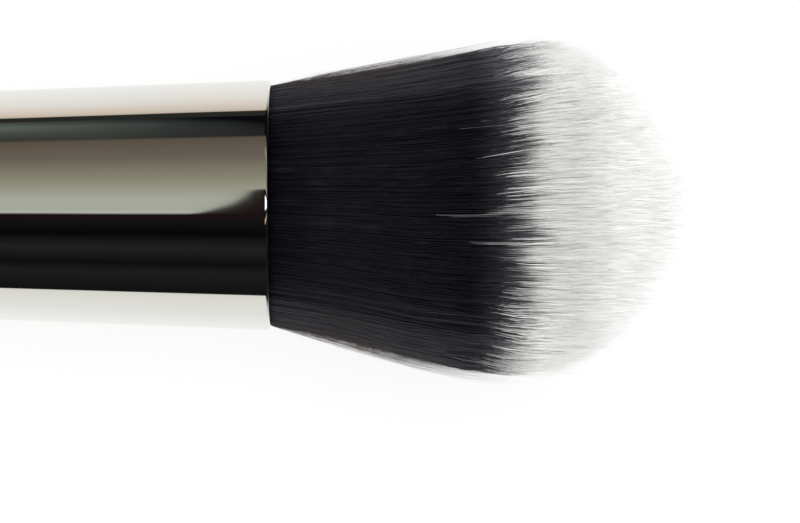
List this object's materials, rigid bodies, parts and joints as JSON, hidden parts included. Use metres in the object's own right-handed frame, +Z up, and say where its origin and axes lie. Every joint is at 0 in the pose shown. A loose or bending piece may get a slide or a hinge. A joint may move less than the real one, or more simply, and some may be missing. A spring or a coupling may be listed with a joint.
{
  "type": "foundation brush",
  "caption": "Round two-tone make-up brush: domed tuft of short dark and long white fibres in a bright crimped ferrule on a tapering black handle, lying on its side.",
  "frame": {"origin": "on the surface the brush lies on, under the middle of its length and width", "axes": "+X along the brush from the handle's butt to the tuft's tip, as seen from above; +Z up; +Y across"},
  "size_m": [0.1796, 0.0298, 0.0293],
  "materials": {
    "black_lacquer": "gloss",
    "bright_plating": "polished",
    "clear_glue": "satin",
    "amber_resin": "gloss",
    "thread": "matte",
    "dark_fibre": "satin",
    "white_fibre": "satin"
  },
  "bodies": {
    "root": {"handle": "black_lacquer", "ferrule": "bright_plating", "handle_glue": "clear_glue", "resin_plug": "amber_resin", "root_thread": "thread", "dark_fibres": "dark_fibre", "white_fibres": "white_fibre"}
  },
  "joints": []
}
